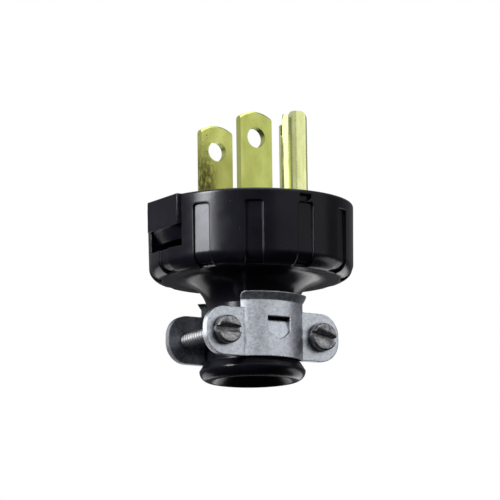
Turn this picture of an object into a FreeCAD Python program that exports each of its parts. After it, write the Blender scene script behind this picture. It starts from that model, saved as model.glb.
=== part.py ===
import FreeCAD, Part
import math
import os
import Sketcher

# Rewireable three-pin plug with a metal cord clamp, standing on its cord mouth.
# The origin is the centre of the mouth's rim, +Z runs up to the tips of the pins,
# the two blades stand apart along Y and the ground pin stands towards +X.
# Lengths are in millimetres and angles in degrees.

doc = FreeCAD.newDocument("plug")
dims = doc.addObject("Spreadsheet::Sheet", "dims")

SIZES = [
    # Cord passage, neck and flared mouth of the shell
    ("cord_bore_radius", 5.3),
    ("neck_wall", 2.3),
    ("mouth_height", 3.0),
    ("mouth_flare", 1.4),
    ("mouth_edge_height", 1.7),
    ("mouth_step", 0.6),
    ("mouth_ring_width", 0.5),
    ("funnel_depth", 2.0),
    ("throat_depth", 4.0),
    ("throat_flare", 3.2),
    # Flange of the shell
    ("shell_wall", 2.4),
    ("floor_thickness", 2.2),
    ("ledge_width", 0.8),
    ("flange_draft", 0.15),
    ("flange_edge_round", 2.4),
    ("rim_edge_round", 0.5),
    ("underside_flat_width", 1.5),
    ("neck_sweep_height", 4.65),
    ("neck_sweep_bulge", 1.5),
    # Grip flutes and the moulding mark under the rim
    ("flute_count", 12),
    ("flute_width", 3.0),
    ("flute_depth", 0.5),
    ("flute_top_gap", 2.1),
    ("flute_corner", 0.5),
    ("mark_width", 2.4),
    ("mark_drop", 0.8),
    ("mark_depth", 0.8),
    # Contact carrier and its two latch tongues
    ("face_recess", 1.2),
    ("carrier_thickness", 4.5),
    ("carrier_clearance", 0.1),
    ("carrier_chamfer", 0.4),
    ("carrier_skin", 0.8),
    ("latch_width", 9.8),
    ("latch_height", 7.4),
    ("latch_shoulder_height", 5.2),
    ("latch_clearance", 0.1),
    ("latch_slit", 0.65),
    ("latch_drop_gap", 1.4),
    ("latch_sink", 0.06),
    ("hook_step", 0.25),
    ("hook_bevel", 1.1),
    ("barrier_clearance", 0.55),
    ("barrier_length", 20.0),
    ("barrier_floor_gap", 0.9),
    # Blades
    ("blade_spacing", 12.7),
    ("blade_setback", 3.0),
    ("blade_width", 6.2),
    ("blade_thickness", 1.4),
    ("blade_length", 16.2),
    ("blade_tip_rise", 1.0),
    ("blade_tip_bevel", 0.3),
    ("blade_hole_radius", 1.75),
    ("blade_hole_drop", 4.5),
    ("blade_bend_radius", 0.5),
    ("blade_slot_clearance", 0.08),
    ("tail_length", 5.7),
    ("tail_clearance", 0.2),
    # Ground pin and the strap that it is staked into
    ("ground_offset", 11.9),
    ("ground_radius", 2.4),
    ("ground_wall", 0.9),
    ("ground_length", 18.5),
    ("ground_root_step", 0.25),
    ("ground_root_rise", 0.2),
    ("ground_seam", 0.1),
    ("ground_mouth_width", 0.5),
    ("ground_mouth_depth", 4.3),
    ("ground_lip_drop", 1.7),
    ("ground_spur_width", 0.13),
    ("ground_spur_drop", 0.45),
    ("ground_notch_width", 0.67),
    ("ground_notch_drop", 1.15),
    ("ground_rise_width", 0.45),
    ("ground_crown_width", 0.85),
    ("ground_round_drop", 1.4),
    ("ground_round_bulge", 0.4),
    ("ground_tip_land", 0.1),
    ("ground_back_drop", 2.3),
    ("ground_flank_width", 1.6),
    ("ground_flank_drop", 1.6),
    ("ground_peak_width", 0.35),
    ("ground_peak_drop", 0.55),
    ("ground_valley_width", 1.4),
    ("ground_valley_drop", 0.95),
    ("ground_hole_clearance", 0.08),
    ("ground_foot_width", 0.7),
    ("ground_foot_thickness", 0.6),
    ("strap_thickness", 1.2),
    ("strap_margin", 0.25),
    ("strap_reach", 7.4),
    # Terminal screws
    ("terminal_shank_radius", 1.75),
    ("terminal_head_radius", 2.75),
    ("terminal_head_height", 1.6),
    ("terminal_slot_width", 0.9),
    ("terminal_slot_depth", 0.8),
    ("terminal_end_gap", 0.4),
    ("terminal_room", 1.8),
    ("thread_clearance", 0.02),
    ("screw_tip_chamfer", 0.35),
    ("screw_head_round", 0.3),
    # Cord clamp
    ("clamp_sheet", 1.2),
    ("clamp_neck_gap", 0.05),
    ("clamp_seat_gap", 0.1),
    ("clamp_ear_depth", 2.15),
    ("clamp_ear_length", 7.75),
    ("clamp_ear_height", 8.2),
    ("clamp_ear_corner", 3.6),
    ("clamp_bend_round", 0.45),
    ("clamp_strap_top", 1.35),
    ("clamp_lip_height", 1.3),
    ("clamp_lip_flare", 0.9),
    ("clamp_lip_corner", 1.1),
    ("tooth_width", 4.4),
    ("tooth_height", 3.9),
    ("tooth_base", 2.9),
    ("tooth_point", 1.5),
    ("tooth_slot", 0.6),
    ("tooth_press", 0.8),
    ("tooth_thickness", 0.9),
    ("tooth_clearance", 0.1),
    # Clamp screws
    ("clamp_screw_inset", 3.65),
    ("clamp_shank_radius", 1.25),
    ("clamp_hole_clearance", 0.15),
    ("clamp_head_radius", 2.35),
    ("clamp_head_height", 1.7),
    ("clamp_slot_width", 0.9),
    ("clamp_slot_depth", 0.9),
    ("clamp_screw_tip", 1.0),
]

for row, (alias, size) in enumerate(SIZES, 1):
    dims.set(f"A{row}", alias)
    dims.set(f"B{row}", str(size))
    dims.setAlias(f"B{row}", alias)
doc.recompute()

# Sizes that follow from the sheet, as expressions

NECK = "(dims.cord_bore_radius + dims.neck_wall)"
MOUTH = f"({NECK} + dims.mouth_flare)"
MOUTH_RING = f"({MOUTH} - dims.mouth_edge_height)"

CLAMP_BOTTOM = "(dims.mouth_height + dims.clamp_seat_gap)"
EAR_TOP = f"({CLAMP_BOTTOM} + dims.clamp_ear_height)"
STRAP_TOP = f"({EAR_TOP} + dims.clamp_strap_top)"
LIP_TOP = f"({STRAP_TOP} + dims.clamp_lip_height)"
CLAMP_INSIDE = f"({NECK} + dims.clamp_neck_gap)"
CLAMP_OUTSIDE = f"({CLAMP_INSIDE} + dims.clamp_sheet)"
EAR_BACK = f"({CLAMP_INSIDE} - dims.clamp_ear_depth)"
EAR_FRONT = f"({EAR_BACK} + dims.clamp_sheet)"
STRAP_END = f"sqrt({CLAMP_INSIDE} ^ 2 - {EAR_BACK} ^ 2)"
STRAP_END_OUTSIDE = f"sqrt({CLAMP_OUTSIDE} ^ 2 - {EAR_FRONT} ^ 2)"
EAR_END = f"({STRAP_END} + dims.clamp_ear_length)"
CLAMP_SCREW_X = f"({EAR_END} - dims.clamp_screw_inset)"
CLAMP_SCREW_Z = f"({CLAMP_BOTTOM} + dims.clamp_ear_height / 2)"

TOOTH_BOTTOM = f"({CLAMP_BOTTOM} + dims.tooth_base)"
TOOTH_TOP = f"({TOOTH_BOTTOM} + dims.tooth_height)"
TOOTH_FACE = f"sqrt({CLAMP_OUTSIDE} ^ 2 - dims.tooth_width ^ 2 / 4)"
TOOTH_INSIDE = f"({TOOTH_FACE} - dims.tooth_press - dims.tooth_thickness)"

BLADE_INNER = "(dims.blade_spacing / 2 - dims.blade_thickness / 2)"
BLADE_OUTER = "(dims.blade_spacing / 2 + dims.blade_thickness / 2)"
TAIL_END = f"({BLADE_OUTER} + dims.tail_length)"
TAIL_CORNER = f"sqrt({TAIL_END} ^ 2 + (dims.blade_setback + dims.blade_width / 2) ^ 2)"
BLADE_X = "(-dims.blade_setback)"
GROUND_X = f"({BLADE_X} + dims.ground_offset)"
GROUND_ROOT = "(dims.ground_radius - dims.ground_root_step)"
GROUND_FOOT = "(dims.ground_radius + dims.ground_foot_width)"
STRAP_HALF = f"max(dims.terminal_head_radius + dims.strap_margin; {GROUND_FOOT})"
STRAP_FAR = f"({GROUND_X} + {STRAP_HALF})"

LEDGE = f"(max({TAIL_CORNER}; {STRAP_FAR}) + dims.tail_clearance)"
CAVITY = f"({LEDGE} + dims.ledge_width)"
FLANGE = f"({CAVITY} + dims.shell_wall)"
FLANGE_FOOT = f"({FLANGE} - dims.flange_draft)"
UNDERSIDE = f"({STRAP_TOP} + dims.neck_sweep_height)"
UNDERSIDE_EDGE = f"({FLANGE_FOOT} - dims.flange_edge_round)"
SWEEP_END = f"({UNDERSIDE_EDGE} - dims.underside_flat_width)"
SWEEP_CHORD = f"sqrt(({SWEEP_END} - {NECK}) ^ 2 + dims.neck_sweep_height ^ 2)"

PLATE = "max(dims.blade_thickness; dims.strap_thickness)"
CAVITY_FLOOR = f"({UNDERSIDE} + dims.floor_thickness)"
TERMINAL_SPACE = f"({PLATE} + dims.terminal_head_height + dims.terminal_room)"
CARRIER_BOTTOM = f"({CAVITY_FLOOR} + {TERMINAL_SPACE})"
FACE = f"({CARRIER_BOTTOM} + dims.carrier_thickness)"
RIM = f"({FACE} + dims.face_recess)"
CARRIER = f"({CAVITY} - dims.carrier_clearance)"
SCREW_HOLE_DEPTH = "(dims.carrier_thickness - dims.carrier_skin)"
TERMINAL_Y = f"({TAIL_END} - dims.tail_length / 2)"
TERMINAL_X = f"({GROUND_X} - dims.strap_reach)"
LATCH_FACE = f"({FLANGE} - dims.latch_sink)"
LATCH_FOOT = f"({RIM} - dims.latch_height)"
LATCH_SHOULDER = f"({RIM} - dims.latch_shoulder_height)"
BLADE_TIP = f"({FACE} + dims.blade_length)"
GROUND_TIP = f"({FACE} + dims.ground_length)"

# How far a cutting shape reaches past the face that it opens
OVERCUT = "1"

# Copies of a feature that the front and the back both have
FRONT_AND_BACK = "2"

# Two places closer than this count as the same place
SAME_PLACE = 1e-4


def number(expression):
    """Value of an expression with the sizes now in the sheet."""
    result = dims.evalExpression(expression)
    return float(getattr(result, "Value", result))


def bulge_radius(chord, bulge):
    """Radius of an arc, as an expression, from its chord and its height over the chord."""
    return f"({chord} ^ 2 / 4 + {bulge} ^ 2) / (2 * {bulge})"


def new_body(label):
    body = doc.addObject("PartDesign::Body", label)
    body.Label = label
    return body


def origin_part(body, role):
    """One of the body's own origin planes or axes."""
    return next(item for item in body.Origin.OriginFeatures if item.Role == role)


def new_sketch(body, name, plane, offset="0"):
    """Sketch on an origin plane, moved along the plane's normal by an offset."""
    sketch = body.newObject("Sketcher::SketchObject", name)
    sketch.AttachmentSupport = [(origin_part(body, plane), "")]
    sketch.MapMode = "FlatFace"
    sketch.setExpression("AttachmentOffset.Base.z", offset)
    return sketch


def bind(sketch, constraint, expression):
    """Add a constraint and drive it from the sheet."""
    index = sketch.addConstraint(constraint)
    sketch.setExpression(f"Constraints[{index}]", expression)


def place_point(sketch, geometry, point, x, y):
    """Hold a point of the sketch at two coordinates from the sheet."""
    bind(sketch, Sketcher.Constraint("DistanceX", -1, 1, geometry, point, number(x)), x)
    bind(sketch, Sketcher.Constraint("DistanceY", -1, 1, geometry, point, number(y)), y)


def arc_between(start, end, radius, turn):
    """Short arc from start to end that bends left (turn 1) or right (turn -1)."""
    chord = end - start
    middle = (start + end) / 2
    left = FreeCAD.Vector(-chord.y, chord.x, 0).normalize()
    centre = middle + left * turn * math.sqrt(max(radius ** 2 - chord.Length ** 2 / 4, 0))
    first, last = (start, end) if turn > 0 else (end, start)
    angles = [math.atan2(point.y - centre.y, point.x - centre.x) for point in (first, last)]
    circle = Part.Circle(centre, FreeCAD.Vector(0, 0, 1), radius)
    return Part.ArcOfCircle(circle, *angles)


def add_loop(sketch, corners, arcs=None):
    """Closed loop through corners; arcs gives the radius and turn of the arc that leaves a corner."""
    arcs = arcs or {}
    points = [FreeCAD.Vector(number(x), number(y), 0) for x, y in corners]
    edges = []
    for index, start in enumerate(points):
        end = points[(index + 1) % len(points)]
        if index in arcs:
            radius, turn = arcs[index]
            edge = sketch.addGeometry(arc_between(start, end, number(radius), turn))
            bind(sketch, Sketcher.Constraint("Radius", edge, number(radius)), radius)
            ends = (1, 2) if turn > 0 else (2, 1)
        else:
            edge = sketch.addGeometry(Part.LineSegment(start, end))
            ends = (1, 2)
        edges.append((edge, *ends))
    for index, (x, y) in enumerate(corners):
        before, _, before_end = edges[index - 1]
        after, after_start, _ = edges[index]
        sketch.addConstraint(Sketcher.Constraint("Coincident", before, before_end, after, after_start))
        place_point(sketch, after, after_start, x, y)


def add_box(sketch, x_low, x_high, y_low, y_high):
    """Rectangle between two pairs of coordinates."""
    add_loop(sketch, [(x_low, y_low), (x_high, y_low), (x_high, y_high), (x_low, y_high)])


def add_circle(sketch, x, y, radius):
    centre = FreeCAD.Vector(number(x), number(y), 0)
    circle = sketch.addGeometry(Part.Circle(centre, FreeCAD.Vector(0, 0, 1), number(radius)))
    place_point(sketch, circle, 3, x, y)
    bind(sketch, Sketcher.Constraint("Radius", circle, number(radius)), radius)


def pad(body, sketch, length, symmetric=False):
    feature = body.newObject("PartDesign::Pad", f"{sketch.Name}_pad")
    feature.Profile = sketch
    feature.Midplane = symmetric
    feature.setExpression("Length", length)
    doc.recompute()
    return feature


def cut(body, sketch, length=None, along_normal=False, symmetric=False):
    """Pocket of a given length, or right through the body; it has to take material away."""
    before = body.Tip.Shape.Volume
    feature = body.newObject("PartDesign::Pocket", f"{sketch.Name}_cut")
    feature.Profile = sketch
    feature.Reversed = along_normal
    feature.Midplane = symmetric
    if length is None:
        feature.Type = "ThroughAll"
    else:
        feature.setExpression("Length", length)
    doc.recompute()
    if feature.Shape.Volume >= before:
        raise RuntimeError(f"{feature.Label} cuts nothing")
    return feature


def revolve(body, sketch, axis, angle="360", kind="Revolution", symmetric=False):
    feature = body.newObject(f"PartDesign::{kind}", f"{sketch.Name}_turn")
    feature.Profile = sketch
    feature.ReferenceAxis = (origin_part(body, axis), [""])
    feature.Midplane = symmetric
    feature.setExpression("Angle", angle)
    doc.recompute()
    return feature


def repeat_round(body, features, count):
    """Polar pattern of features around Z."""
    pattern = body.newObject("PartDesign::PolarPattern", f"{features[0].Name}_round")
    pattern.Originals = features
    pattern.Axis = (origin_part(body, "Z_Axis"), [""])
    pattern.Angle = 360
    pattern.setExpression("Occurrences", count)
    body.Tip = pattern
    doc.recompute()
    return pattern


def dress_edges(body, kind, name, wanted, size_name, size):
    """Fillet or chamfer every edge of the body's tip that the test picks out."""
    base = body.Tip
    names = [f"Edge{index}" for index, edge in enumerate(base.Shape.Edges, 1) if wanted(edge)]
    if not names:
        raise RuntimeError(f"{name} finds no edge")
    feature = body.newObject(f"PartDesign::{kind}", name)
    feature.Base = (base, names)
    feature.setExpression(size_name, size)
    doc.recompute()
    return feature


def near(value, target):
    return abs(value - target) < SAME_PLACE


def is_upright(edge):
    """Straight edge along Z."""
    first, last = edge.Vertexes[0].Point, edge.Vertexes[-1].Point
    return near(first.x, last.x) and near(first.y, last.y) and not near(first.z, last.z)


def make_body_shell():
    body = new_body("body_shell")
    section = new_sketch(body, "shell_section", "XZ_Plane")
    add_loop(
        section,
        [
            (f"{MOUTH_RING} - dims.mouth_ring_width", "0"),
            (MOUTH_RING, "0"),
            (MOUTH, "dims.mouth_edge_height"),
            (f"{NECK} + dims.mouth_step", "dims.mouth_height"),
            (NECK, "dims.mouth_height"),
            (NECK, STRAP_TOP),
            (SWEEP_END, UNDERSIDE),
            (UNDERSIDE_EDGE, UNDERSIDE),
            (FLANGE_FOOT, f"{UNDERSIDE} + dims.flange_edge_round"),
            (FLANGE, f"{RIM} - dims.rim_edge_round"),
            (f"{FLANGE} - dims.rim_edge_round", RIM),
            (CAVITY, RIM),
            (CAVITY, CARRIER_BOTTOM),
            (LEDGE, CARRIER_BOTTOM),
            (LEDGE, CAVITY_FLOOR),
            ("dims.cord_bore_radius + dims.throat_flare", CAVITY_FLOOR),
            ("dims.cord_bore_radius", f"{CAVITY_FLOOR} - dims.throat_depth"),
            ("dims.cord_bore_radius", "dims.funnel_depth"),
        ],
        {
            1: ("dims.mouth_edge_height", 1),
            5: (bulge_radius(SWEEP_CHORD, "dims.neck_sweep_bulge"), -1),
            7: ("dims.flange_edge_round", 1),
            9: ("dims.rim_edge_round", 1),
        },
    )
    revolve(body, section, "Z_Axis")

    # Grip flutes: closed below the rim, with a foot that follows the lower edge and ends in a step under it
    flute_floor = f"({FLANGE} - dims.flute_depth)"
    flute = new_sketch(body, "flute", "YZ_Plane", flute_floor)
    half = "dims.flute_width / 2"
    flute_top = f"({RIM} - dims.flute_top_gap)"
    foot_top = f"({UNDERSIDE} + dims.flange_edge_round)"
    add_loop(
        flute,
        [
            (f"-{half}", foot_top),
            (half, foot_top),
            (half, f"{flute_top} - dims.flute_corner"),
            (f"{half} - dims.flute_corner", flute_top),
            (f"dims.flute_corner - {half}", flute_top),
            (f"-{half}", f"{flute_top} - dims.flute_corner"),
        ],
        {2: ("dims.flute_corner", 1), 4: ("dims.flute_corner", 1)},
    )
    first_flute = cut(body, flute, f"dims.flute_depth + {OVERCUT}", along_normal=True)
    foot = new_sketch(body, "flute_foot", "XZ_Plane")
    foot_round = "(dims.flange_edge_round - dims.flute_depth)"
    foot_end = f"({flute_floor} - {foot_round})"
    add_loop(
        foot,
        [
            (flute_floor, foot_top),
            (foot_end, f"{foot_top} - {foot_round}"),
            (foot_end, f"{UNDERSIDE} - {OVERCUT}"),
            (f"{FLANGE} + {OVERCUT}", f"{UNDERSIDE} - {OVERCUT}"),
            (f"{FLANGE} + {OVERCUT}", foot_top),
        ],
        {0: (foot_round, -1)},
    )
    first_foot = cut(body, foot, "dims.flute_width", symmetric=True)
    repeat_round(body, [first_flute, first_foot], "dims.flute_count")

    # Windows for the latch tongues, open at the rim, in the +X and -X sides
    window = new_sketch(body, "latch_window", "YZ_Plane")
    window_half = "(dims.latch_width / 2 + dims.latch_clearance)"
    window_bottom = f"{LATCH_FOOT} - dims.latch_drop_gap"
    add_box(window, f"-{window_half}", window_half, window_bottom, f"{RIM} + {OVERCUT}")
    cut(body, window, f"2 * ({FLANGE} + {OVERCUT})", symmetric=True)

    # Half-round moulding marks between the rim and two of the flutes
    mark = new_sketch(body, "moulding_mark", "XZ_Plane", f"{FLANGE} - dims.mark_depth")
    mark_half = "dims.mark_width / 2"
    mark_top = f"({RIM} - dims.mark_drop)"
    add_loop(
        mark,
        [(f"-{mark_half}", mark_top), ("0", f"{mark_top} - {mark_half}"), (mark_half, mark_top)],
        {0: (mark_half, 1), 1: (mark_half, 1)},
    )
    first_mark = cut(body, mark, f"dims.mark_depth + {OVERCUT}", along_normal=True)
    repeat_round(body, [first_mark], FRONT_AND_BACK)

    # Dents that the teeth of the two clamp halves press into the neck
    dent = new_sketch(body, "tooth_dent", "XZ_Plane", f"{TOOTH_INSIDE} - dims.tooth_clearance")
    dent_half = "(dims.tooth_width / 2 + dims.tooth_clearance)"
    dent_top = f"{TOOTH_TOP} + dims.tooth_clearance"
    add_box(dent, f"-{dent_half}", dent_half, f"{TOOTH_BOTTOM} - dims.tooth_clearance", dent_top)
    dent_length = f"{NECK} - {TOOTH_INSIDE} + dims.tooth_clearance + {OVERCUT}"
    first_dent = cut(body, dent, dent_length, along_normal=True)
    repeat_round(body, [first_dent], FRONT_AND_BACK)
    return body


def add_latch(body, name, half_width, bottom, top):
    """Block in each side window, with a flat outside that meets the flange at its middle."""
    height = f"({top} - {bottom})"
    block = new_sketch(body, name, "XY_Plane", bottom)
    half = f"({half_width})"
    inner = f"sqrt({LEDGE} ^ 2 - {half} ^ 2)"
    add_box(block, inner, LATCH_FACE, f"-{half}", half)
    add_box(block, f"-{LATCH_FACE}", f"-{inner}", f"-{half}", half)
    pad(body, block, height)


def make_contact_carrier():
    body = new_body("contact_carrier")
    disc = new_sketch(body, "carrier_disc", "XY_Plane", CARRIER_BOTTOM)
    add_circle(disc, "0", "0", CARRIER)
    pad(body, disc, "dims.carrier_thickness")
    face_height = number(FACE)
    dress_edges(body, "Chamfer", "carrier_edge", lambda edge: near(edge.BoundBox.ZMin, face_height),
                "Size", "dims.carrier_chamfer")

    # Latch tongues: full width above the shoulder, narrower below it, with a bevelled hook
    add_latch(body, "latch_head", "dims.latch_width / 2", LATCH_SHOULDER, RIM)
    add_latch(body, "latch_hook", "dims.latch_width / 2 - dims.latch_slit", LATCH_FOOT, LATCH_SHOULDER)
    bevel = new_sketch(body, "hook_bevel", "XZ_Plane")
    add_loop(
        bevel,
        [
            (f"{LATCH_FACE} - dims.hook_step", LATCH_SHOULDER),
            (f"{LATCH_FACE} - dims.hook_step - dims.hook_bevel", LATCH_FOOT),
            (f"{LATCH_FACE} + {OVERCUT}", LATCH_FOOT),
            (f"{LATCH_FACE} + {OVERCUT}", LATCH_SHOULDER),
        ],
    )
    revolve(body, bevel, "Z_Axis", kind="Groove")

    # Barriers that keep the ground strap apart from the two blades
    barrier = new_sketch(body, "barrier", "XY_Plane", f"{CAVITY_FLOOR} + dims.barrier_floor_gap")
    inside = f"({STRAP_HALF} + dims.barrier_clearance)"
    outside = f"({BLADE_INNER} - dims.barrier_clearance)"
    add_box(barrier, "-dims.barrier_length / 2", "dims.barrier_length / 2", inside, outside)
    add_box(barrier, "-dims.barrier_length / 2", "dims.barrier_length / 2", f"-{outside}", f"-{inside}")
    pad(body, barrier, f"{TERMINAL_SPACE} - dims.barrier_floor_gap")

    # Slots for the blades and the hole for the ground pin, right through the face
    slots = new_sketch(body, "pin_slots", "XY_Plane", CARRIER_BOTTOM)
    x_low = f"{BLADE_X} - dims.blade_width / 2 - dims.blade_slot_clearance"
    x_high = f"{BLADE_X} + dims.blade_width / 2 + dims.blade_slot_clearance"
    slot_inner = f"({BLADE_INNER} - dims.blade_slot_clearance)"
    slot_outer = f"({BLADE_OUTER} + dims.blade_slot_clearance)"
    add_box(slots, x_low, x_high, slot_inner, slot_outer)
    add_box(slots, x_low, x_high, f"-{slot_outer}", f"-{slot_inner}")
    add_circle(slots, GROUND_X, "0", f"{GROUND_ROOT} + dims.ground_hole_clearance")
    cut(body, slots, f"dims.carrier_thickness + {OVERCUT}", along_normal=True)

    # Room for the inside of each blade's bend
    relief = new_sketch(body, "bend_relief", "XY_Plane", CARRIER_BOTTOM)
    relief_outer = f"({slot_outer} + dims.blade_bend_radius)"
    add_box(relief, x_low, x_high, slot_inner, relief_outer)
    add_box(relief, x_low, x_high, f"-{relief_outer}", f"-{slot_inner}")
    cut(body, relief, "dims.blade_bend_radius + dims.blade_slot_clearance", along_normal=True)

    # Blind holes for the ends of the terminal screws
    holes = new_sketch(body, "terminal_holes", "XY_Plane", CARRIER_BOTTOM)
    hole_radius = "dims.terminal_shank_radius + dims.blade_slot_clearance"
    add_circle(holes, BLADE_X, TERMINAL_Y, hole_radius)
    add_circle(holes, BLADE_X, f"-{TERMINAL_Y}", hole_radius)
    add_circle(holes, TERMINAL_X, "0", hole_radius)
    cut(body, holes, SCREW_HOLE_DEPTH, along_normal=True)
    return body


def make_blade(label, side):
    """Bent brass strip; side is 1 for the blade at +Y and -1 for the one at -Y."""
    body = new_body(label)
    half = "dims.blade_thickness / 2"
    bend_x = f"{half} + dims.blade_bend_radius"
    bend_z = f"{CARRIER_BOTTOM} + dims.blade_bend_radius"
    tail_x = f"{half} + dims.tail_length"
    tail_bottom = f"{CARRIER_BOTTOM} - dims.blade_thickness"
    strip = new_sketch(body, f"{label}_strip", "YZ_Plane")
    add_loop(
        strip,
        [
            (f"-{half}", BLADE_TIP),
            (f"-{half}", bend_z),
            (bend_x, tail_bottom),
            (tail_x, tail_bottom),
            (tail_x, CARRIER_BOTTOM),
            (bend_x, CARRIER_BOTTOM),
            (half, bend_z),
            (half, BLADE_TIP),
        ],
        {1: ("dims.blade_bend_radius + dims.blade_thickness", 1), 5: ("dims.blade_bend_radius", -1)},
    )
    pad(body, strip, "dims.blade_width", symmetric=True)

    # Arched tip, cut through the thickness
    arch = new_sketch(body, f"{label}_arch", "XZ_Plane")
    side_x = "dims.blade_width / 2"
    shoulder = f"{BLADE_TIP} - dims.blade_tip_rise"
    arch_radius = bulge_radius("dims.blade_width", "dims.blade_tip_rise")
    above = f"{BLADE_TIP} + {OVERCUT}"
    add_loop(
        arch,
        [(f"-{side_x}", shoulder), (side_x, shoulder), (side_x, above), (f"-{side_x}", above)],
        {0: (arch_radius, -1)},
    )
    cut(body, arch, f"dims.blade_thickness + {OVERCUT}", symmetric=True)
    shoulder_height = number(shoulder)
    half_thickness = number(half)

    def on_arch(edge):
        box = edge.BoundBox
        flat = near(abs(box.YMin), half_thickness) and near(box.YMin, box.YMax)
        return flat and box.ZMin > shoulder_height - half_thickness and box.XLength > half_thickness

    dress_edges(body, "Chamfer", f"{label}_tip_bevel", on_arch, "Size", "dims.blade_tip_bevel")

    hole = new_sketch(body, f"{label}_hole", "XZ_Plane")
    add_circle(hole, "0", f"{BLADE_TIP} - dims.blade_hole_drop", "dims.blade_hole_radius")
    cut(body, hole, f"dims.blade_thickness + {OVERCUT}", symmetric=True)

    tapped = new_sketch(body, f"{label}_tapped", "XY_Plane", CARRIER_BOTTOM)
    tapped_y = f"{half} + dims.tail_length / 2"
    add_circle(tapped, "0", tapped_y, "dims.terminal_shank_radius + dims.thread_clearance")
    cut(body, tapped, f"dims.blade_thickness + {OVERCUT}")

    turn = 0 if side > 0 else 180
    body.Placement = FreeCAD.Placement(FreeCAD.Vector(), FreeCAD.Rotation(FreeCAD.Vector(0, 0, 1), turn))
    body.setExpression("Placement.Base.x", BLADE_X)
    body.setExpression("Placement.Base.y", f"{side} * dims.blade_spacing / 2")
    return body


def make_ground_pin():
    """Rolled tube with a seam towards the blades, an uneven tip and a staked foot."""
    body = new_body("ground_pin")
    foot_bottom = f"({CARRIER_BOTTOM} - dims.strap_thickness - dims.ground_foot_thickness)"
    foot = new_sketch(body, "ground_foot", "XY_Plane", foot_bottom)
    add_circle(foot, "0", "0", GROUND_FOOT)
    pad(body, foot, "dims.ground_foot_thickness")

    # Slimmer root inside the plug, with its shoulder just above the face
    shoulder = f"({FACE} + dims.ground_root_rise)"
    root = new_sketch(body, "ground_root", "XY_Plane", foot_bottom)
    add_circle(root, "0", "0", GROUND_ROOT)
    pad(body, root, f"{shoulder} - {foot_bottom}")
    tube = new_sketch(body, "ground_tube", "XY_Plane", shoulder)
    add_circle(tube, "0", "0", "dims.ground_radius")
    pad(body, tube, f"{GROUND_TIP} - {shoulder}")
    bore = new_sketch(body, "ground_bore", "XY_Plane", foot_bottom)
    add_circle(bore, "0", "0", "dims.ground_radius - dims.ground_wall")
    cut(body, bore, along_normal=True)

    # Seam on the side of the blades, spread to a mouth at the tip
    seam = new_sketch(body, "ground_seam", "YZ_Plane")
    seam_half = "dims.ground_seam / 2"
    mouth_half = "dims.ground_mouth_width / 2"
    seam_bottom = f"{foot_bottom} + dims.ground_foot_thickness"
    mouth_bottom = f"{GROUND_TIP} - dims.ground_mouth_depth"
    mouth_sides = f"{mouth_bottom} + {mouth_half}"
    above = f"{GROUND_TIP} + {OVERCUT}"
    add_loop(
        seam,
        [
            (f"-{seam_half}", seam_bottom),
            (seam_half, seam_bottom),
            (seam_half, mouth_bottom),
            (mouth_half, mouth_sides),
            (mouth_half, above),
            (f"-{mouth_half}", above),
            (f"-{mouth_half}", mouth_sides),
            (f"-{seam_half}", mouth_bottom),
        ],
    )
    cut(body, seam)

    # Front of the tip: a spur beside the seam, a notch, a rise to a flat crown and a round
    far_side = f"(dims.ground_radius + {OVERCUT})"
    round_x = "(dims.ground_radius - dims.ground_tip_land)"
    round_bottom = f"{GROUND_TIP} - dims.ground_round_drop"
    spur_x = "(dims.ground_spur_width - dims.ground_radius)"
    notch_x = f"({spur_x} + dims.ground_notch_width)"
    rise_x = f"({notch_x} + dims.ground_rise_width)"
    crown_x = f"({rise_x} + dims.ground_crown_width)"
    round_chord = f"sqrt(({round_x} - {crown_x}) ^ 2 + dims.ground_round_drop ^ 2)"
    front = new_sketch(body, "ground_tip_front", "XZ_Plane")
    add_loop(
        front,
        [
            (f"-{far_side}", f"{GROUND_TIP} - dims.ground_lip_drop"),
            ("-dims.ground_radius", f"{GROUND_TIP} - dims.ground_lip_drop"),
            (spur_x, f"{GROUND_TIP} - dims.ground_spur_drop"),
            (notch_x, f"{GROUND_TIP} - dims.ground_notch_drop"),
            (rise_x, GROUND_TIP),
            (crown_x, GROUND_TIP),
            (round_x, round_bottom),
            (far_side, round_bottom),
            (far_side, above),
            (f"-{far_side}", above),
        ],
        {5: (bulge_radius(round_chord, "dims.ground_round_bulge"), -1)},
    )
    cut(body, front, far_side, along_normal=True)

    # Back of the tip: a flank that rises from the seam to a peak and falls away behind the crown
    flank_x = "(dims.ground_flank_width - dims.ground_radius)"
    peak_x = f"({flank_x} + dims.ground_peak_width)"
    rear = new_sketch(body, "ground_tip_rear", "XZ_Plane")
    add_loop(
        rear,
        [
            (f"-{far_side}", f"{GROUND_TIP} - dims.ground_back_drop"),
            ("-dims.ground_radius", f"{GROUND_TIP} - dims.ground_back_drop"),
            (flank_x, f"{GROUND_TIP} - dims.ground_flank_drop"),
            (peak_x, f"{GROUND_TIP} - dims.ground_peak_drop"),
            (f"{peak_x} + dims.ground_valley_width", f"{GROUND_TIP} - dims.ground_valley_drop"),
            (round_x, round_bottom),
            (far_side, round_bottom),
            (far_side, above),
            (f"-{far_side}", above),
        ],
    )
    cut(body, rear, far_side)
    body.setExpression("Placement.Base.x", GROUND_X)
    return body


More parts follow.
